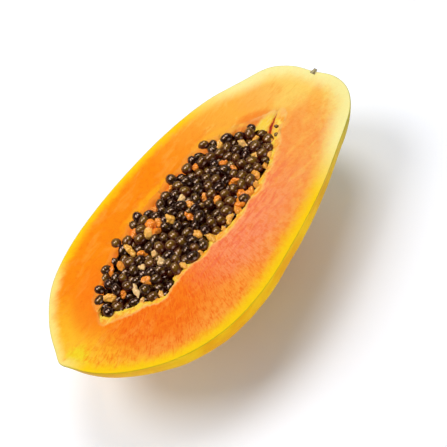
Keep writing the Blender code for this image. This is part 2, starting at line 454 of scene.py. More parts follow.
def faceRows(outline, edge):  # over the rounded rim, across the cut face and down the lip of the cavity
    rows = []
    for turn in fruit["rimTurns"]:
        inset = fruit["rimRound"] * (1 - math.cos(math.radians(turn)))
        height = depth - fruit["rimRound"] * (1 - math.sin(math.radians(turn)))
        rows.append(atHeight(movedInwards(outline, inset), height))
    outer = movedInwards(outline, fruit["rimRound"])
    inner = movedInwards(evenClosedLine(cavityPoints, fruit["columns"]), -fruit["lip"])
    steps = np.linspace(0, 1, fruit["faceRows"] + 2)[1:-1]
    eased = steps - fruit["faceEase"] * np.sin(2 * math.pi * steps)
    for share in eased:
        rows.append(atHeight(outer + (inner - outer) * share, depth))
    for turn in fruit["edgeTurns"]:
        out = math.sin(math.radians(turn))
        height = depth - fruit["edgeRound"] * (1 - math.cos(math.radians(turn)))
        rows.append(atHeight(inner + (edge - inner) * out, height))
    return rows


def wallRows(edge):  # down the wall of the cavity to its floor
    middle = np.array(fruit["cavityMiddle"])
    first = math.asin(fruit["wallStart"] * fruit["edgeRound"] / fruit["cavityDepth"])
    last = math.acos(fruit["cavityFloor"])
    rows = []
    for down in np.linspace(first, last, fruit["wallRows"]):
        place = middle + (edge - middle) * math.cos(down)
        rows.append(atHeight(place, depth - fruit["cavityDepth"] * math.sin(down)))
    return rows


def halfRelief(points, normals, rimGap, pitGap, onSkin, onFace):  # how far each point moves
    lift = np.zeros((len(points), 3))
    smooth = rise(rimGap[onFace], 0.0, fruit["rimFade"])
    smooth = smooth * np.clip(pitGap[onFace] / fruit["pitFade"], fruit["pitLeast"], 1)
    knife = relief(points[onFace] * fruit["knifeStretch"], *fruit["knife"])
    pores = relief(points[onFace], *fruit["pores"])
    lift[onFace, 2] = (knife + pores - fruit["faceSink"]) * smooth
    inPit = ~(onFace | onSkin)
    outwards = points[inPit] - np.array((*fruit["cavityMiddle"], depth))
    outwards /= np.linalg.norm(outwards, axis=1)[:, None]
    lift[inPit] = outwards * relief(points[inPit], *fruit["torn"])[:, None]
    away = rise(-rimGap[onSkin], 0.0, fruit["skinFade"]) * rise(points[onSkin, 2], 0.0, fruit["skinFade"])
    dents = relief(points[onSkin], *fruit["dents"]) - fruit["skinSink"]
    lift[onSkin] = normals[onSkin] * (dents * away)[:, None]
    return lift


def makeHalf():
    columns = fruit["columns"]
    rim = rimLine(columns)
    edge = cavityLine(columns)
    flatTurn = math.acos(fruit["flatShare"])
    plainDepth = depth / (1 + fruit["lobeRise"]) / math.sin(flatTurn)
    outline = skinRow(rim, 0.0, plainDepth)[:, :2]  # the rim as grown
    skinPart = skinRows(rim, flatTurn, plainDepth)
    facePart = faceRows(outline, edge)
    rows = skinPart + facePart + wallRows(edge)
    materialRows = [0 if row <= len(skinPart) else 1 for row in range(len(rows) - 1)]
    mesh, points = gridMesh("papayaHalf", rows, materialRows)
    order = np.arange(len(points))
    onSkin = order < 1 + len(skinPart) * columns
    onFace = (order < 1 + (len(skinPart) + len(facePart)) * columns) & ~onSkin
    inPit = ~(onFace | onSkin)
    rimGap = np.abs(towards(points[:, :2], outline[::2])[0])
    pitGap = np.abs(towards(points[:, :2], edge[::2])[0])
    rimGap[onSkin] = points[onSkin, 2] - depth  # negative on the skin and in the cavity
    pitGap[inPit] = points[inPit, 2] - depth
    normals = np.zeros(len(points) * 3)
    mesh.vertices.foreach_get("normal", normals)
    points = points + halfRelief(points, normals.reshape(-1, 3), rimGap, pitGap, onSkin, onFace)
    mesh.vertices.foreach_set("co", points.astype(np.float32).ravel())
    turn = np.tile(np.linspace(0, 2 * math.pi, columns, False), len(rows))
    turn = np.concatenate([[0], turn, [0]])
    ring = np.stack([fruit["ring"] * np.cos(turn), fruit["ring"] * np.sin(turn), rimGap / mm], axis=1)
    store(mesh, "rimGap", rimGap / mm)
    store(mesh, "pitGap", pitGap / mm)
    store(mesh, "ring", ring, "FLOAT_VECTOR")
    mesh.update()
    mesh.materials.append(skinFinish())
    mesh.materials.append(fleshFinish())
    piece = addPiece("papayaHalf", mesh)
    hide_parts("papaya_half")
    print("half fruit:", len(mesh.polygons), "faces")


flesh = {
    "thinOrange": rgb(252, 139, 0),
    "thinStem": rgb(253, 176, 60),
    "thickRed": rgb(249, 125, 16),
    "thickSalmon": rgb(251, 152, 102),
    "thickOuter": rgb(252, 156, 54),
    "thickStem": rgb(251, 160, 76),
    "stemEnd": rgb(253, 208, 100),
    "blossomEnd": rgb(254, 192, 40),
    "goldRim": rgb(253, 205, 6),
    "paleRim": rgb(251, 238, 158),
    "vein": rgb(244, 104, 70),
    "tornEdge": rgb(252, 190, 104),
    "wall": rgb(249, 158, 32),
    "wallDeep": rgb(200, 84, 14),
    "skinLine": rgb(168, 168, 84),
    "blotch": 22.0,  # sizes of the marks, in millimetres
    "cloud": 5.0,
    "streak": 2.2,
    "mottle": 3.0,
    "fibre": 0.9,
    "grain": 0.7,
    "thickSide": (9.0, -7.0),  # where one look fades into the next, in millimetres across the fruit
    "stemSide": (4.0, 62.0),  # and along it
    "salmonSide": (-42.0, -4.0),
    "stemEndFrom": (60.0, 86.0),
    "blossomEndFrom": (-70.0, -96.0),
    "paleFrom": (36.0, 80.0),
    "paleTipFrom": (-58.0, -76.0),
    "paleTipSide": (-6.0, 8.0),  # across
    "dashesTo": (30.0, -30.0),
    "veinsStart": (-44.0, -16.0),
    "veinsEnd": (70.0, 30.0),
    "rimBand": 6.5,  # width of the gold band along the rim
    "widerFrom": (30.0, 80.0),
    "narrowerFrom": (-50.0, -75.0),
    "lineFaintFrom": (80.0, 40.0),
    "outerFrom": (13.0, 28.0),  # from the cavity outwards
    "veinsTo": (24.0, 6.0),
    "threadsFrom": (3.0, 7.0),
    "wallFrom": (-0.2, -1.2),
    "wallDeepFrom": (-2.5, -9.0),
    "patches": (  # middle, length, width in millimetres, direction, strength, colour
        (61, 14, 26, 10, -32, 0.6, rgb(246, 108, 22)),
        (-98, 3, 16, 14, 0, 0.5, rgb(236, 232, 30)),
        (-70, 17, 44, 22, 35, 0.5, rgb(252, 118, 14)),
        (86, -8, 28, 9, 25, 0.6, rgb(252, 168, 62)),
        (74, 20, 30, 20, -35, 0.6, rgb(252, 172, 72)),
        (-12, 31, 46, 7, 0, 0.7, rgb(255, 178, 20)),
        (38, 27, 26, 7, -20, 0.6, rgb(255, 184, 50)),
        (66, -13, 50, 13, 28, 0.6, rgb(252, 164, 72)),
    ),
}


def fleshFinish():
    made = Finish("flesh")
    x, y = made.x, made.y
    ring = made.attribute("ring", "Vector")
    rimGap, pitGap = made.attribute("rimGap"), made.attribute("pitGap")
    blotch = made.marks(flesh["blotch"], 3.0) - 0.5
    cloud = made.marks(flesh["cloud"], 4.0, 0.6, 0.5, stretch=0.4) - 0.5
    mottle = made.marks(flesh["mottle"], 4.0, 0.65) - 0.5
    grain = made.marks(flesh["grain"], 3.0, 0.6) - 0.5
    fibre = made.noise(made.scaled(ring, (1.0, 1.0, 0.3)), flesh["fibre"], 3.0, 0.6, 0.4) - 0.5
    streaks = made.marks(flesh["streak"], 4.0, 0.65, 1.0, stretch=0.18)
    thick = made.ramp(y + blotch * 10, *flesh["thickSide"])
    stemward = made.ramp(x + blotch * 30, *flesh["stemSide"])
    thin = made.mix(stemward, flesh["thinOrange"], flesh["thinStem"])
    salmon = made.ramp(x + mottle * 20, *flesh["salmonSide"])
    near = made.mix(salmon, flesh["thickRed"], flesh["thickSalmon"])
    deep = made.mix(made.ramp(pitGap + blotch * 14, *flesh["outerFrom"]), near, flesh["thickOuter"])
    deep = made.mix(stemward, deep, flesh["thickStem"])
    made.colour = made.mix(thick, thin, deep)
    atStem = made.ramp(x - thick * 10 + blotch * 16 + cloud * 22, *flesh["stemEndFrom"])
    made.paint(atStem, flesh["stemEnd"])
    atBlossom = made.ramp(x + blotch * 10 + cloud * 12, *flesh["blossomEndFrom"])
    made.paint(atBlossom, flesh["blossomEnd"])
    lighter = made.ramp(cloud, -0.02, 0.2) * (0.15 + stemward * 0.4)
    made.paint(lighter, flesh["stemEnd"])
    for spotX, spotY, length, width, turn, strength, tint in flesh["patches"]:
        wayX, wayY = math.cos(math.radians(turn)), math.sin(math.radians(turn))
        along = ((x - spotX) * wayX + (y - spotY) * wayY) / (length / 2)
        across = ((y - spotY) * wayX - (x - spotX) * wayY) / (width / 2)
        patch = made.ramp(along * along + across * across + mottle * 1.2 + cloud * 1.2, 1.3, 0.1)
        made.paint(patch * strength, tint)
    darker = made.ramp(mottle, -0.04, 0.12) * (0.35 + thick * 0.4 - stemward * 0.3)
    made.glaze(darker, (0.97, 0.7, 0.42))
    dashes = made.ramp(fibre, 0.0, 0.13) * (0.12 + thick * made.ramp(x, *flesh["dashesTo"]) * 0.9)
    made.glaze(dashes, (0.97, 0.62, 0.36))
    threads = made.ramp(streaks, 0.56, 0.66) * (1 - thick) * made.ramp(pitGap, *flesh["threadsFrom"]) * 0.42
    made.glaze(threads, (0.97, 0.66, 0.4))
    veins = made.ramp(streaks, 0.47, 0.62) * thick
    veins = veins * made.ramp(pitGap, *flesh["veinsTo"]) * made.ramp(x, *flesh["veinsStart"])
    made.paint(veins * made.ramp(x, *flesh["veinsEnd"]) * 0.62, flesh["vein"])
    width = flesh["rimBand"] + thick * 2.5 + made.ramp(x, *flesh["widerFrom"]) * 5.0
    width = width - made.ramp(x, *flesh["narrowerFrom"]) * thick * 2.0
    inwards = (rimGap + fibre * 1.4 + mottle * 2.0 + cloud * 5.0) / width
    paleTip = made.ramp(x, *flesh["paleTipFrom"]) * made.ramp(y, *flesh["paleTipSide"])
    pale = made.ramp(x, *flesh["paleFrom"]) + paleTip * 0.6
    band = made.mix(pale, flesh["goldRim"], flesh["paleRim"])
    made.paint(made.ramp(inwards, 1.0, 0.1), band)
    torn = made.ramp(pitGap + mottle * 3.0, 1.8, 0.2) * (0.25 + thick * 0.65)
    made.paint(torn, flesh["tornEdge"])
    wall = made.mix(made.ramp(pitGap, *flesh["wallDeepFrom"]), flesh["wall"], flesh["wallDeep"])
    made.paint(made.ramp(pitGap, *flesh["wallFrom"]), wall)
    lineShare = 0.75 - thick * made.ramp(x, *flesh["lineFaintFrom"]) * 0.65
    made.paint(made.ramp(rimGap, 0.6, 0.15) * lineShare, flesh["skinLine"])
    made.colour = made.shaded(made.colour, 1 + grain * 0.12)
    uneven = fibre * 0.6 + grain * 0.5 + mottle * 0.6
    return made.close(
        Base_Color=made.colour,
        Roughness=0.45 + mottle * 0.15,
        Normal=made.bump(uneven, 0.3, 0.6),
        Specular_IOR_Level=0.04,
        Subsurface_Weight=0.1,
        Subsurface_Radius=(1.0, 0.45, 0.12),
        Subsurface_Scale=0.003,
    )


skin = {
    "gold": rgb(255, 206, 0),
    "deepGold": rgb(246, 176, 0),
    "green": rgb(150, 168, 10),
    "edge": rgb(196, 190, 50),
    "speck": rgb(150, 104, 24),
    "blotch": 26.0,  # sizes of the marks, in millimetres
    "mottle": 5.0,
    "freckle": 1.4,
    "fine": 0.7,
    "poreScale": 0.22,
    "stemGreen": (60.0, 150.0),
    "blossomGreen": (-78.0, -98.0),
}


def skinFinish():
    made = Finish("skin")
    rimGap = made.attribute("rimGap")
    blotch = made.marks(skin["blotch"], 4.0, 0.55)
    mottle = made.marks(skin["mottle"], 4.0, 0.6)
    fine = made.marks(skin["fine"], 2.0)
    freckles = made.marks(skin["freckle"], 3.0, 0.7, stretch=0.6)
    made.colour = made.mix(made.ramp(blotch, 0.35, 0.68), skin["gold"], skin["deepGold"])
    greenest = made.ramp(made.x + blotch * 70, *skin["stemGreen"])
    greenest = greenest + made.ramp(made.x + blotch * 24, *skin["blossomGreen"]) * 0.6
    made.paint(greenest * 0.75, skin["green"])
    made.paint(made.ramp(mottle, 0.55, 0.8) * 0.25, skin["green"])
    made.paint(made.ramp(freckles, 0.5, 0.68) * 0.3, skin["deepGold"])
    ports = {"Vector": made.place, "Scale": skin["poreScale"], "Randomness": 1.0}
    specks = made.node("ShaderNodeTexVoronoi", {}, ports)
    pores = made.ramp(specks + mottle * 0.12, 0.16, 0.08)
    made.paint(pores * 0.6, skin["speck"])
    made.paint(made.ramp(rimGap, -0.9, -0.1) * 0.6, skin["edge"])
    return made.close(
        Base_Color=made.colour,
        Roughness=0.3 + mottle * 0.18,
        Normal=made.bump(fine * 0.4 + mottle * 0.5 - pores * 0.5, 0.15, 0.5),
        Specular_IOR_Level=0.03,
    )


# Geometry Nodes: a tree with named inputs, run once on a base mesh and turned into a plain mesh
class Grower(Tree):
    def __init__(self, name, numbers):
        super().__init__(bpy.data.node_groups.new(name, "GeometryNodeTree"))
        sockets = self.nodeTree.interface
        sockets.new_socket("Geometry", in_out="INPUT", socket_type="NodeSocketGeometry")
        sockets.new_socket("Geometry", in_out="OUTPUT", socket_type="NodeSocketGeometry")
        self.numbers = numbers
        for key, value in numbers.items():
            kind = "NodeSocketInt" if isinstance(value, int) else "NodeSocketFloat"
            sockets.new_socket(key, in_out="INPUT", socket_type=kind)
        start = self.nodeTree.nodes.new("NodeGroupInput")
        self.base = Wire(self, start.outputs["Geometry"])
        self.inputs = {key: Wire(self, start.outputs[key]) for key in numbers}

    def vector(self, *parts):
        return self.node("ShaderNodeCombineXYZ", {}, dict(enumerate(parts)))

    def stored(self, name):
        settings = {"data_type": "FLOAT_VECTOR"}
        return self.node("GeometryNodeInputNamedAttribute", settings, {"Name": name})

    def randomTurn(self, lean, spin, seed):
        ports = {0: self.vector(-lean, -lean, -spin), 1: self.vector(lean, lean, spin), "Seed": seed}
        return self.node("FunctionNodeRandomValue", {"data_type": "FLOAT_VECTOR"}, ports)

    def run(self, baseMesh, result, material):
        made = self.node("GeometryNodeRealizeInstances", {}, {"Geometry": result})
        made = self.node("GeometryNodeSetMaterial", {}, {"Geometry": made, "Material": material})
        end = self.nodeTree.nodes.new("NodeGroupOutput")
        self.nodeTree.links.new(made.port, end.inputs[0])
        carrier = newObject("carrier", baseMesh)
        modifier = carrier.modifiers.new("grow", "NODES")
        modifier.node_group = self.nodeTree
        for item in self.nodeTree.interface.items_tree:
            if item.in_out == "INPUT" and item.name in self.numbers:
                modifier[item.identifier] = self.numbers[item.name]
        graph = bpy.context.evaluated_depsgraph_get()
        result = carrier.evaluated_get(graph)
        mesh = bpy.data.meshes.new_from_object(result, preserve_all_data_layers=True, depsgraph=graph)
        carrier.modifiers.clear()
        bpy.data.objects.remove(carrier, do_unlink=True)
        return mesh


# The seed cavity is filled up to this line; between it and the cavity's edge lies the torn lining
lining = {
    "columns": 640,
    "rows": 24,
    "tuck": 0.0016,  # how far it reaches under the cut face
    "drop": 0.0005,  # below the cut face, at its outer edge
    "tipDrop": 0.00015,  # at the stem end and along the upper side
    "dip": 0.0010,  # how far the lining slopes down to its torn edge
    "thick": 0.0009,
    "thinning": 0.6,  # share of its thickness that it loses towards the torn edge
    "tear": 0.0016,
    "tears": (0.0055, 3, 11.0),  # size, octaves and shift of noise
    "fineTears": (0.0016, 2, 4.0),
    "wave": 0.0026,
    "waves": (0.010, 2, 14.0),
    "wavesFrom": (0.012, 0.010),  # start and width, across the fruit
    "under": 0.0012,  # how far it reaches under the seeds of the upper side
    "underFrom": (0.006, 0.006),
    "levelFrom": ((0.054, 0.008), (0.006, 0.008)),  # tipDrop takes over here, along the fruit and across it
    "fibres": (0.00012, 0.0016, 3, 6.0),  # height, size, octaves and shift
    "fibreStretch": (0.25, 1.0, 1.0),
    "lumps": (0.0004, 0.0045, 2, 8.0),
    "crack": ((0.0545, 0.0006), (0.0715, 0.0061)),
    "crackWide": 0.0009,
    "crackDeep": 0.0006,
    "yellow": rgb(255, 206, 60),
    "orange": rgb(254, 160, 40),
    "pale": rgb(255, 228, 140),
    "red": rgb(176, 36, 8),
    "blush": rgb(238, 104, 20),
    "strand": 1.0,  # sizes of the marks, in millimetres
    "patch": 3.5,
    "fleshFrom": (8.0, 14.0),  # where one look fades into the next, in millimetres across the fruit
    "tongueAlong": (50.0, 56.0),  # and along it
    "tongueFrom": (3.0, 5.0),
    "tongueTo": (11.0, 8.0),
    "tipAlong": (54.0, 58.0),
    "tipFrom": (9.0, 11.5),
    "strandsTo": (16.0, 6.0),
    "shadeFrom": (9.0, 15.0),
    "borderAlong": (54.0, 60.0),
    "borderTo": (18.0, 10.0),
    "crackBlush": (3.2, 0.6),  # across the crack
    "crackRed": (1.2, 0.5),
}
seedPoints = (
    (-0.0745, 0.0080),
    (-0.0690, 0.0045),
    (-0.0625, 0.0000),
    (-0.0565, -0.0056),
    (-0.0510, -0.0102),
    (-0.0430, -0.0122),
    (-0.0375, -0.0100),
    (-0.0300, -0.0103),
    (-0.0240, -0.0128),
    (-0.0180, -0.0138),
    (-0.0120, -0.0125),
    (-0.0088, -0.0088),
    (-0.0055, -0.0142),
    (0.0005, -0.0156),
    (0.0145, -0.0148),
    (0.0305, -0.0127),
    (0.0465, -0.0080),
    (0.0550, -0.0025),
    (0.0580, 0.0040),
    (0.0555, 0.0115),
    (0.0500, 0.0172),
    (0.0400, 0.0225),
    (0.0225, 0.0268),
    (0.0025, 0.0277),
    (-0.0185, 0.0275),
    (-0.0385, 0.0258),
    (-0.0555, 0.0212),
    (-0.0695, 0.0130),
)


def seedLine(count):
    line = evenClosedLine(seedPoints, count)
    flat = atHeight(line, 0.0)
    tear = fractal(flat, *lining["tears"]) + 0.5 * fractal(flat, *lining["fineTears"])
    upper = rise(line[:, 1], *lining["wavesFrom"])  # wider waves along the upper side
    waves = fractal(flat, *lining["waves"])
    return movedInwards(line, lining["tear"] * tear * (1 - 0.5 * upper) + lining["wave"] * waves * upper)


def makeLining():
    count = lining["columns"]
    outer = movedInwards(cavityLine(count), -lining["tuck"])
    inner = seedLine(count)
    inner = movedInwards(inner, lining["under"] * rise(inner[:, 1], *lining["underFrom"]))
    level = np.maximum(*[rise(outer[:, axis], *lining["levelFrom"][axis]) for axis in (0, 1)])
    outerDrop = lining["drop"] + (lining["tipDrop"] - lining["drop"]) * level
    top, under = [], []
    for share in np.linspace(0, 1, lining["rows"]):
        place = outer + (inner - outer) * share
        drop = outerDrop + lining["dip"] * share**2
        top.append(atHeight(place, depth - drop))
        under.append(atHeight(place, depth - drop - lining["thick"] * (1 - lining["thinning"] * share)))
    rows = top + under[::-1]
    points = np.vstack(rows)
    faces = []
    for row in range(len(rows)):
        first, after = row * count, (row + 1) % len(rows) * count
        for i in range(count):
            j = (i + 1) % count
            faces.append((first + i, first + j, after + j, after + i))
    onTop = np.arange(len(points)) < len(top) * count
    uneven = relief(points * lining["fibreStretch"], *lining["fibres"]) + relief(points, *lining["lumps"])
    inShare = np.repeat(np.linspace(0, 1, lining["rows"]), count)
    inShare = np.concatenate([inShare, inShare[::-1]])
    points[:, 2] += uneven * np.clip(inShare * 3, 0, 1)  # even where it meets the flesh
    crackStart, crackEnd = [np.array(p) for p in lining["crack"]]
    along = crackEnd - crackStart
    share = np.clip((points[:, :2] - crackStart) @ along / (along @ along), 0, 1)
    gap = np.hypot(*(points[:, :2] - crackStart - share[:, None] * along).T)
    points[onTop, 2] -= (lining["crackDeep"] * np.exp(-((gap / lining["crackWide"]) ** 2)))[onTop]
    mesh = bpy.data.meshes.new("lining")
    mesh.from_pydata([tuple(p) for p in points], [], faces)
    pointOutwards(mesh)
    store(mesh, "inShare", inShare)
    mesh.materials.append(liningFinish())
    addPiece("lining", mesh)
    print("lining:", len(mesh.polygons), "faces")


def liningFinish():
    made = Finish("lining")
    x, y = made.x, made.y
    fibre = made.marks(lining["strand"], 4.0, 0.65, 0.4, stretch=0.22)
    patch = made.marks(lining["patch"], 3.0, 0.6)
    inShare = made.attribute("inShare")
    made.colour = made.mix(made.ramp(patch - inShare * 0.2, 0.28, 0.5), lining["yellow"], lining["orange"])
    like = made.mix(made.ramp(x, *flesh["stemSide"]), flesh["thinOrange"], flesh["thinStem"])
    made.paint(made.ramp(y, *lining["fleshFrom"]) * 0.9, like)
    tongue = made.ramp(x, *lining["tongueAlong"])
    tongue = tongue * made.ramp(y, *lining["tongueFrom"]) * made.ramp(y, *lining["tongueTo"])
    made.paint(tongue * 0.8, lining["yellow"])
    tip = made.ramp(x, *lining["tipAlong"]) * made.ramp(y, *lining["tipFrom"])
    made.paint(tip * 0.7, lining["blush"])
    strands = made.ramp(fibre, 0.48, 0.66) * made.ramp(y, *lining["strandsTo"])
    made.paint(strands * 0.4, lining["pale"])
    shade = made.ramp(y, *lining["shadeFrom"]) * made.ramp(inShare + patch * 0.5, 0.5, 1.0)
    made.paint(shade * 0.6, lining["blush"])
    startX, startY, endX, endY = [value / mm for point in lining["crack"] for value in point]
    length = math.hypot(endX - startX, endY - startY)
    wayX, wayY = (endX - startX) / length, (endY - startY) / length
    along = (x - startX) * wayX + (y - startY) * wayY
    across = (y - startY) * wayX - (x - startX) * wayY + (patch - 0.5) * 1.6
    apart = abs(across) / (0.8 * made.ramp(along, length, 0.0) + 0.2)
    reach = made.ramp(along, length + 1.0, length - 3.0) * made.ramp(along, -2.0, 0.0)
    # the crack: red tissue, deepened with painted shade along its groove
    made.paint(made.ramp(apart, *lining["crackBlush"]) * reach * 0.7, lining["blush"])
    made.paint(made.ramp(apart, *lining["crackRed"]) * reach, lining["red"])
    strength = 0.35 + made.ramp(x, *lining["borderAlong"]) * 0.4
    border = made.ramp(inShare + patch * 0.4, 0.62, 0.3) * strength * made.ramp(y, *lining["borderTo"])
    made.paint(border, flesh["tornEdge"])
    return made.close(
        Base_Color=made.colour,
        Roughness=0.4,
        Normal=made.bump(fibre + patch * 0.5, 0.3, 0.4),
        Specular_IOR_Level=0.12,
        Subsurface_Weight=0.15,
        Subsurface_Radius=(1.0, 0.45, 0.12),
        Subsurface_Scale=0.003,
    )


# The pulp under the seeds
bed = {
    "sink": 0.0064,  # below the top of the heap
    "columns": 200,
    "rings": 26,
    "ringShares": (0.985, 0.02),
    "gap": 0.0004,  # to the wall of the cavity
    "skirt": 0.0020,
    "foot": (0.5, 0.0150),  # size, as a share of the cavity's edge, and depth
    "heapCentre": -0.004,
    "heapWidth": 0.022,
    "heapRise": 0.0007,
    "endsFrom": (0.045, 0.025),  # start and width, from the heap's centre
    "endsDrop": 0.0008,
    "hollows": (0.0011, 0.009, 2, 21.0),  # height, size, octaves and shift of noise
    "lumps": (0.0006, 0.004, 3, 2.0),
    # partly painted shade: the pulp is darkened to the shade that falls between the seeds
    "dark": rgb(96, 14, 6),
    "warm": rgb(214, 80, 16),
    "patch": 3.0,  # size of the marks, in millimetres
}


def heap(places):  # height of the heap of seeds: it leans against the upper side of the cavity
    across = np.clip((places[:, 1] - fruit["cavityMiddle"][1]) / bed["heapWidth"], -1, 1)
    ends = rise(np.abs(places[:, 0] - bed["heapCentre"]), *bed["endsFrom"])
    return depth + bed["heapRise"] * across - bed["endsDrop"] * ends


def hollows(places):  # the heap has dips where seeds have fallen out
    return relief(atHeight(places[:, :2], 0.0), *bed["hollows"])


def makeBed():
    edge = movedInwards(evenClosedLine(cavityPoints, bed["columns"]), bed["gap"])
    middle = np.array(fruit["cavityMiddle"])
    footShare, footDepth = bed["foot"]
    rows = [atHeight(middle + (edge - middle) * footShare, depth - footDepth)]
    rows.append(atHeight(edge, depth - bed["sink"] - bed["skirt"]))
    for share in np.linspace(*bed["ringShares"], bed["rings"]):
        place = middle + (edge - middle) * share
        rows.append(np.column_stack([place, heap(place) - bed["sink"]]))
    mesh, points = gridMesh("seedBed", rows)
    top = np.arange(len(points)) > 2 * bed["columns"]
    points[top, 2] += relief(points[top], *bed["lumps"])
    mesh.vertices.foreach_set("co", points.astype(np.float32).ravel())
    made = Finish("seedBed")
    wet = made.marks(bed["patch"], 4.0, 0.6)
    # dark red pulp with warm patches; the dark stands in part for painted shade between the seeds
    colour = made.mix(made.ramp(wet, 0.45, 0.75), bed["dark"], bed["warm"])
    looks = {"Base_Color": colour, "Roughness": 0.35, "Specular_IOR_Level": 0.25}
    mesh.materials.append(made.close(**looks, Normal=made.bump(wet, 0.8, 0.7)))
    addPiece("seedBed", mesh)
    print("seed bed:", len(mesh.polygons), "faces")


# Bits of pulp that stay between the seeds
flecks = {
    "places": (  # x, y, length and width in millimetres, direction in degrees, tint, rise in millimetres
        (-37.5, 20, 8, 3.2, 85, 0.7, 0.0),
        (-47, 18, 5, 4, 60, 0.3, 0.0),
        (-63.5, 11, 7.5, 4, -50, 0.6, 0.0),
        (-25, 18, 6.5, 5, 20, 0.75, 0.4),
        (-20, 20, 6, 5.5, 100, 0.15, 0.4),
        (-22, 15.5, 6, 3.8, 150, 0.1, 0.5),
        (-17, 17.5, 5, 3.6, 40, 0.3, 0.4),
        (-12, 13.5, 5.5, 4.4, 80, 0.65, 0.2),
        (1, 16.5, 4.4, 3.2, 30, 0.9, 0.0),
        (0.5, 11, 6, 3, 95, 0.35, 0.0),
        (-5, 5.5, 7, 3, 100, 0.1, 0.0),
        (-41.5, 8.5, 5, 3, 80, 0.9, -0.3),
        (-53, 2.5, 9, 2.8, 60, 0.95, 0.2),
        (-33.5, 2, 5.4, 3.4, 20, 0.9, 0.0),
        (-32, 8, 4, 3.6, 0, 0.85, 0.0),
        (-46, 1, 6, 4, 110, 0.25, 0.2),
        (-11, -4, 5.2, 4, 90, 0.5, 0.0),
        (11, 0, 6, 3.8, 10, 0.3, 0.0),
        (24, -1, 6.4, 4.2, -40, 0.15, 0.2),
        (15.5, -11.5, 7.5, 5, 10, 0.2, 0.3),
        (20, -9, 6.5, 4.4, 65, 0.05, 0.5),
        (11.5, -13.2, 6, 4, 40, 0.35, 0.6),
        (22.5, -12.3, 6, 4, 0, 0.3, 0.5),
        (33, -8.5, 5.4, 4, 60, 0.45, 0.4),
        (45, 10, 6, 3, 80, 0.8, 0.0),
        (43, 0, 4.4, 3.4, 20, 0.75, 0.0),
        (5, -13, 6, 3.4, 10, 0.7, 0.3),
        (-9, -11, 8.5, 3.4, 80, 0.6, 0.6),
        (51, 5.5, 6.5, 3, 10, 0.6, 0.2),
        (30, 12, 5, 3, 130, 0.1, -0.6),
        (-29, 24.5, 5.5, 3.6, 30, 0.1, -0.2),
        (20, 23, 5, 3.4, 70, 0.0, -0.4),
        (-52, 20.5, 5, 3.4, 40, 0.1, -0.6),
        (-12, 24.5, 5, 3, 110, 0.2, -0.5),
        (2, 26, 5, 3, 160, 0.3, -0.5),
        (38, 20, 6, 3.4, 35, 0.6, -0.3),
        (30, 4, 5, 3, 60, 0.2, -0.4),
        (-58, 7, 4, 3, 20, 0.15, -0.5),
        (-35, 13, 4.4, 3, 120, 0.2, -0.5),
        (8, 7, 4.4, 3, 40, 0.3, -0.5),
        (-56, -4.5, 4.6, 2.2, 20, 0.8, 0.5),
        (-47.5, -10, 4.4, 2.4, 60, 0.75, 0.5),
        (-29, -9.6, 4.6, 2.4, 80, 0.7, 0.6),
        (-18.5, -12.6, 4.2, 2.2, 110, 0.55, 0.6),
        (-1.5, -14.4, 4.4, 2.2, 60, 0.6, 0.6),
        (28.5, -12.0, 4.6, 2.4, 50, 0.5, 0.5),
        (40, -9.2, 4.8, 2.4, 60, 0.45, 0.5),
        (47.5, -6.4, 5.0, 2.2, 40, 0.6, 0.5),
        (54, -3.4, 5.4, 2.0, 50, 0.7, 0.3),
        (60.5, 0.2, 4.6, 1.6, 30, 0.8, 0.3),
    ),
    "shape": (1.1, 1.0, 0.8),
    "sink": 0.0012,  # below the top of the heap
    "room": 0.19,  # kept free of seeds, as a share of length and width
    "segments": 40,
    "draw": 3,
    "lean": 0.35,
    "spin": 0.2,
    "wrinkle": 0.0018,
    "grain": 0.0026,
    "octaves": 2.0,
    "orange": rgb(255, 146, 34),
    "yellow": rgb(255, 186, 76),
    "beige": rgb(255, 214, 148),
    "patch": 1.6,  # sizes of the marks, in millimetres
    "shred": 0.7,
}


def fleckFinish():
    made = Finish("pulpBits")
    tint = made.attribute("tint")
    patch = made.marks(flecks["patch"], 3.0, 0.6)
    shreds = made.marks(flecks["shred"], 3.0, 0.65, 1.0)
    made.colour = made.mix(made.ramp(tint + patch * 0.5, 0.35, 0.9), flecks["orange"], flecks["yellow"])
    made.paint(made.ramp(tint, 0.7, 0.95), flecks["beige"])
    made.glaze(made.ramp(shreds, 0.5, 0.66) * 0.4, (1.0, 0.6, 0.3))
    return made.close(
        Base_Color=made.colour,
        Roughness=0.25,
        Normal=made.bump(shreds + patch, 0.4, 0.5),
        Specular_IOR_Level=0.3,
        Coat_Weight=0.4,
        Coat_Roughness=0.1,
        Subsurface_Weight=0.15,
        Subsurface_Radius=(1.0, 0.5, 0.2),
        Subsurface_Scale=0.0006,
    )


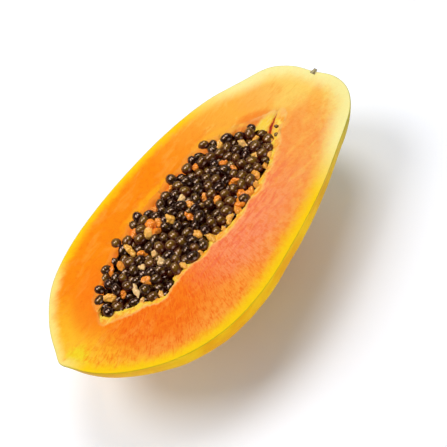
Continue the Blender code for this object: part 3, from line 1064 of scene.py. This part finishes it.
# Seeds: eggs in a wet skin, packed in a heap
seeds = {
    "count": 256,
    "long": 0.0037,
    "wide": 0.0030,
    "spread": 0.14,  # in size, either way
    "unlike": 0.08,  # in shape, either way
    "apart": 0.0054,  # between the middles of two seeds that touch
    "layers": (-0.0010, -0.0042),  # height of the two layers in the heap
    "scatter": (-0.0022, 0.0012),
    "hollowShare": 1.6,  # how deep seeds sink into the heap's dips
    "hollowMost": 0.0004,
    "linePoints": 180,
    "inset": 0.001,  # of the first places, from the lining
    "edgeRoom": (0.0006, 0.0020),  # to the lining, along the upper side and the lower one
    "topSink": 0.0013,
    "steps": 120,
    "push": 0.3,  # share of an overlap that one step undoes
    "bitPush": 0.5,
    "settle": 0.15,  # share of the way back to the layer
    "segments": 11,
    "draw": 7,
    "lean": 0.7,
    "spin": math.pi,
    "wrinkle": 0.0004,
    "grain": 0.0025,
    "octaves": 3.0,
    "strays": (  # x, y, height above the cut face, size
        (-0.0205, 0.0293, -0.0010, 1.0),
        (0.0330, 0.0275, -0.0010, 0.95),
        (0.0556, 0.0124, -0.0018, 0.85),
        (0.0556, 0.0052, -0.0022, 0.88),
        (0.0632, 0.0004, -0.0013, 0.45),
        (0.0588, -0.0026, -0.0015, 0.5),
        (-0.0680, 0.0146, -0.0016, 0.88),
        (-0.0635, 0.0185, -0.0014, 0.85),
        (-0.0684, 0.0106, -0.0032, 0.85),
        (-0.0528, 0.0234, -0.0014, 0.9),
        (-0.0385, 0.0288, -0.0012, 0.95),
    ),
    "black": rgb(28, 2, 0),
    "brown": rgb(76, 16, 2),
    "olive": rgb(126, 94, 22),
    # dark red of the painted shade between the seeds and under them
    "side": rgb(124, 10, 0),
    "patch": 2.0,  # sizes of the marks, in millimetres
    "crease": 0.8,
    "gelShadedFrom": (6.5, 2.5),  # painted shade: the olive gel fades out between these depths, in millimetres below the cut face
    "redShadeFrom": (2.6, 5.4),
}


def seedFinish():
    made = Finish("seedSkin")
    tint, crown = made.attribute("tint"), made.attribute("crown")
    below = depth / mm - made.z  # below the cut face, in millimetres
    patch = made.marks(seeds["patch"], 3.0, 0.6)
    wrinkle = made.marks(seeds["crease"], 3.0, 0.65, 0.5)
    made.colour = made.mix(made.ramp(tint, 0.3, 1.0), seeds["black"], seeds["brown"])
    # olive gel patches, with painted light: they show only on faces that point up, as if lit from above
    gelAndTopLight = made.ramp(patch + tint * 0.34, 0.48, 0.96) * made.ramp(crown, 0.5, 1.0)
    gelAndTopLight = gelAndTopLight * made.ramp(below, *seeds["gelShadedFrom"])  # painted shade: darker down in the heap
    made.paint(gelAndTopLight, seeds["olive"])
    low = made.ramp(below, *seeds["redShadeFrom"])
    made.paint(low * 0.7, seeds["side"])  # painted shade: dark red down between the seeds
    # painted shade: the same dark red on the sides of each seed that face down
    made.paint(made.ramp(crown, 0.4, -0.3) * 0.8, seeds["side"])
    return made.close(
        Base_Color=made.colour,
        Roughness=0.04 + wrinkle * 0.06 + low * 0.15,
        Normal=made.bump(wrinkle + patch * 0.6, 0.22, 0.6),
        IOR=1.66,
        Specular_Tint=(1.0, 0.5, 0.26, 1.0),
        Coat_Weight=0.8,
        Coat_Roughness=0.04,
    )


def bitSpots():  # middles of the bits of pulp, on the heap
    bits = np.array(flecks["places"]) * mm
    return np.column_stack([bits[:, :2], heap(bits[:, :2]) - flecks["sink"] + bits[:, 6]])


def packSeeds():  # seeds dropped at random and pushed apart until they rest side by side
    draw = np.random.default_rng(seeds["draw"])
    line = seedLine(seeds["linePoints"])
    low, high = line.min(axis=0), line.max(axis=0)
    flat = draw.uniform(low, high, (seeds["count"] * 4, 2))  # enough, though some fall outside the line
    flat = flat[towards(flat, line)[0] > seeds["inset"]][: seeds["count"]]
    size = 1 + draw.uniform(-seeds["spread"], seeds["spread"], len(flat))
    upper = np.arange(len(flat)) % 2 == 0
    wanted = np.where(upper, *seeds["layers"]) + draw.uniform(*seeds["scatter"], len(flat))
    wanted += np.minimum(hollows(flat) * seeds["hollowShare"], seeds["hollowMost"])
    place = np.column_stack([flat, heap(flat) + wanted])
    reach = seeds["apart"] * (size[:, None] + size[None]) / 2
    bitPlace = bitSpots()
    bitReach = (np.array(flecks["places"]) * mm)[:, 2:4].sum(axis=1) * flecks["room"] + seeds["wide"]
    for step in range(seeds["steps"]):
        apart = place[:, None] - place[None]
        distance = np.linalg.norm(apart, axis=2) + np.eye(len(place))
        push = np.clip(reach - distance, 0, None) * (1 - np.eye(len(place))) / distance
        place += seeds["push"] * (apart * push[:, :, None]).sum(axis=1)
        apart = place[:, None] - bitPlace[None]
        distance = np.linalg.norm(apart, axis=2)
        push = np.clip(bitReach[None] - distance, 0, None) / distance
        place += seeds["bitPush"] * (apart * push[:, :, None]).sum(axis=1)
        gap, way = towards(place[:, :2], line)
        room = np.where(place[:, 1] > fruit["cavityMiddle"][1], *seeds["edgeRoom"])
        place[:, :2] += np.clip(room - gap, 0, None)[:, None] * way
        place[:, 2] += seeds["settle"] * (heap(place[:, :2]) + wanted - place[:, 2])
        place[:, 2] = np.minimum(place[:, 2], depth - seeds["topSink"])
    strays = np.array(seeds["strays"])
    place = np.vstack([place, strays[:, :3] + (0, 0, depth)])
    size = np.concatenate([size, strays[:, 3]])
    egg = np.array((seeds["long"], seeds["wide"], seeds["wide"]))
    shape = egg * (1 + draw.uniform(-seeds["unlike"], seeds["unlike"], (len(place), 3)))
    return place, size[:, None] * shape


def spotMesh(name, places, sizes, turns, tints):  # bare points that carry how an egg grows there
    mesh = bpy.data.meshes.new(name)
    mesh.from_pydata([tuple(p) for p in places], [], [])
    store(mesh, "size", sizes, "FLOAT_VECTOR")
    store(mesh, "turn", turns, "FLOAT_VECTOR")
    store(mesh, "tint", tints)
    return mesh


def growEggs(baseMesh, looks, material):  # an egg on each point, turned and rippled
    names = ("segments", "draw", "lean", "spin", "wrinkle", "grain", "octaves")
    tree = Grower("eggs", {name: looks[name] for name in names})
    size = tree.inputs
    rings = size["segments"] * 0.65  # for faces that are about square
    ball = {"Segments": size["segments"], "Rings": rings, "Radius": 1.0}
    egg = tree.node("GeometryNodeMeshUVSphere", {}, ball)
    turn = tree.randomTurn(size["lean"], size["spin"], size["draw"])
    turn = tree.node("ShaderNodeVectorMath", {"operation": "ADD"}, {0: turn, 1: tree.stored("turn")})
    ports = {"Points": tree.base, "Instance": egg, "Rotation": turn, "Scale": tree.stored("size")}
    made = tree.node("GeometryNodeInstanceOnPoints", {}, ports)
    made = tree.node("GeometryNodeRealizeInstances", {}, {"Geometry": made})
    # crown: how far each face points up; the seeds' finish paints light on the tops and shade on the sides
    # by it
    outwards = tree.node("GeometryNodeInputNormal")
    facing = tree.node("ShaderNodeSeparateXYZ", {}, {0: outwards}, out=2)
    settings = {"data_type": "FLOAT", "domain": "POINT"}
    ports = {"Geometry": made, "Name": "crown", "Value": facing}
    made = tree.node("GeometryNodeStoreNamedAttribute", settings, ports)
    place = tree.node("GeometryNodeInputPosition")
    ripple = (tree.noise(place, size["grain"], size["octaves"]) - 0.5) * size["wrinkle"] * 2
    push = tree.node("ShaderNodeVectorMath", {"operation": "SCALE"}, {0: outwards, "Scale": ripple})
    made = tree.node("GeometryNodeSetPosition", {}, {"Geometry": made, "Offset": push})
    return tree.run(baseMesh, made, material)


def makeSeeds():
    place, sizes = packSeeds()
    tints = np.random.default_rng(seeds["draw"] + 1).random(len(place))
    base = spotMesh("seedSpots", place, sizes, np.zeros_like(place), tints)
    mesh = growEggs(base, seeds, seedFinish())
    mesh.name = "seeds"
    piece = addPiece("seeds", mesh)
    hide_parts("seed_mass")
    print("seeds:", len(place), "seeds,", len(mesh.polygons), "faces")


def makePulpBits():
    bits = np.array(flecks["places"])
    sizes = bits[:, [2, 3, 3]] * flecks["shape"] * mm / 2
    turns = np.zeros_like(sizes)
    turns[:, 2] = np.radians(bits[:, 4])
    base = spotMesh("bitSpots", bitSpots(), sizes, turns, bits[:, 5])
    mesh = growEggs(base, flecks, fleckFinish())
    mesh.name = "pulpBits"
    addPiece("pulpBits", mesh)
    print("pulp bits:", len(bits))


# Dry stub of the stem, halved by the cut
stub = {
    "start": 0.0020,
    "length": 0.0032,
    "above": 0.0003,
    "radius": 0.26,  # as a share of the solid stub's width
    "sides": 40,
    "ridges": 9,
    "ridgeRise": 0.06,  # as a share of the radius
    "ridgeTwist": 3.0,
    "bumps": 4,
    "bumpRise": 0.05,
    "notches": 7,
    "notchDepth": 0.0004,
    "along": (0, 0.08, 0.3, 0.6, 0.85, 0.97, 1),
    "swell": (1.05, 1.1, 1.0, 0.88, 0.84, 0.74, 0.5),
    "light": rgb(196, 182, 136),
    "dark": rgb(112, 94, 56),
    "fibre": 0.5,  # size of the marks, in millimetres
}


def makeStub():
    middle = ((Vector(stubLow) + Vector(stubHigh)) / 2).y
    radius = (stubHigh.y - stubLow.y) * stub["radius"]
    rows = []
    for share, swell in zip(stub["along"], stub["swell"]):
        x = stubLow.x + stub["start"] + stub["length"] * share
        ring = []
        for turn in [2 * math.pi * i / stub["sides"] for i in range(stub["sides"])]:
            ridge = stub["ridgeRise"] * math.cos(stub["ridges"] * turn + stub["ridgeTwist"] * share)
            bump = stub["bumpRise"] * math.cos(stub["bumps"] * turn + 1)
            reach = radius * (swell * (1 + ridge + bump))
            ragged = stub["notchDepth"] * share * math.cos(stub["notches"] * turn)
            down = min(0.0, reach * math.sin(turn))
            ring.append((x + ragged, middle + reach * math.cos(turn), stubHigh.z + stub["above"] + down))
        rows.append(np.array(ring))
    mesh = gridMesh("stemStub", rows)[0]
    made = Finish("dryStem")
    fibres = made.marks(stub["fibre"], 3.0, 0.6, stretch=0.2)
    colour = made.mix(made.ramp(fibres, 0.35, 0.65), stub["light"], stub["dark"])
    mesh.materials.append(made.close(Base_Color=colour, Roughness=0.8, Normal=made.bump(fibres, 0.4)))
    piece = addPiece("stemStub", mesh)
    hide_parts("stem_stub")
    print("stub of the stem:", len(mesh.polygons), "faces")


# Floor and light
studio = {
    "floor": (0.85, 0.86, 0.89, 1.0),
    # painted shadow: no glow right under the fruit, so the floor stays dark there
    "underGlow": (0.0, 0.0, 0.0, 1.0),
    "nearGlow": (0.23, 0.24, 0.27, 1.0),  # glow that keeps the floor pale where the lamps don't reach
    "farGlow": (0.62, 0.62, 0.62, 1.0),
    "ceiling": (0.045, 0.045, 0.045, 1.0),  # dark above, so that the wet seeds keep their depth
    "wall": (0.7, 0.7, 0.7, 1.0),
    "floorSize": 8.0,
    "nearFrom": (0.0, 140.0),  # millimetres from the middle
    "farFrom": (500.0, 2200.0),
    "horizon": (0.3, 0.04),  # ceiling above the first, wall below the second, as sines of elevation
    "aim": (0.0, 0.0, 0.03),
    "lamps": (  # name, size, power, place
        ("key", 0.62, 7.2, (-0.34, 0.50, 0.96)),
        ("second", 0.56, 5.8, (0.40, 0.34, 1.0)),
        ("fill", 0.7, 2.6, (-0.05, -0.9, 0.35)),
    ),
}


def makeLamp(name, size, power, spot):
    data = bpy.data.lights.new(name, "AREA")
    data.shape, data.size, data.energy = "DISK", size, power
    lamp = newObject(name, data)
    lamp.location = spot
    lamp.rotation_euler = (Vector(studio["aim"]) - Vector(spot)).to_track_quat("-Z", "Y").to_euler()


def makeStudio():
    shape = bmesh.new()
    bmesh.ops.create_grid(shape, x_segments=1, y_segments=1, size=studio["floorSize"])
    mesh = bpy.data.meshes.new("floor")
    shape.to_mesh(mesh)
    shape.free()
    floor = newObject("floor", mesh)
    made = Finish("floor")
    away = (made.x * made.x + made.y * made.y).root()
    glow = made.mix(made.ramp(away, *studio["nearFrom"]), studio["underGlow"], studio["nearGlow"])
    glow = made.mix(made.ramp(away, *studio["farFrom"]), glow, studio["farGlow"])
    looks = {"Base_Color": studio["floor"], "Roughness": 0.7, "Specular_IOR_Level": 0.2}
    mesh.materials.append(made.close(**looks, Emission_Color=glow, Emission_Strength=1.0))
    world = bpy.data.worlds.new("sky")
    world.use_nodes = True
    made = Tree(world.node_tree)
    way = made.node("ShaderNodeTexCoord", {}, {}, "Generated")
    height = made.node("ShaderNodeSeparateXYZ", {}, {0: way}, "Z")
    colour = made.mix(made.ramp(height, *studio["horizon"]), studio["ceiling"], studio["wall"])
    made.nodeTree.links.new(colour.port, made.nodeTree.nodes["Background"].inputs["Color"])
    bpy.context.scene.world = world
    for lamp in studio["lamps"]:
        makeLamp(*lamp)
    bpy.context.scene.view_settings.view_transform = "Standard"


makeCamera()
makeStudio()
makeHalf()
makeLining()
makeBed()
makeSeeds()
makePulpBits()
makeStub()
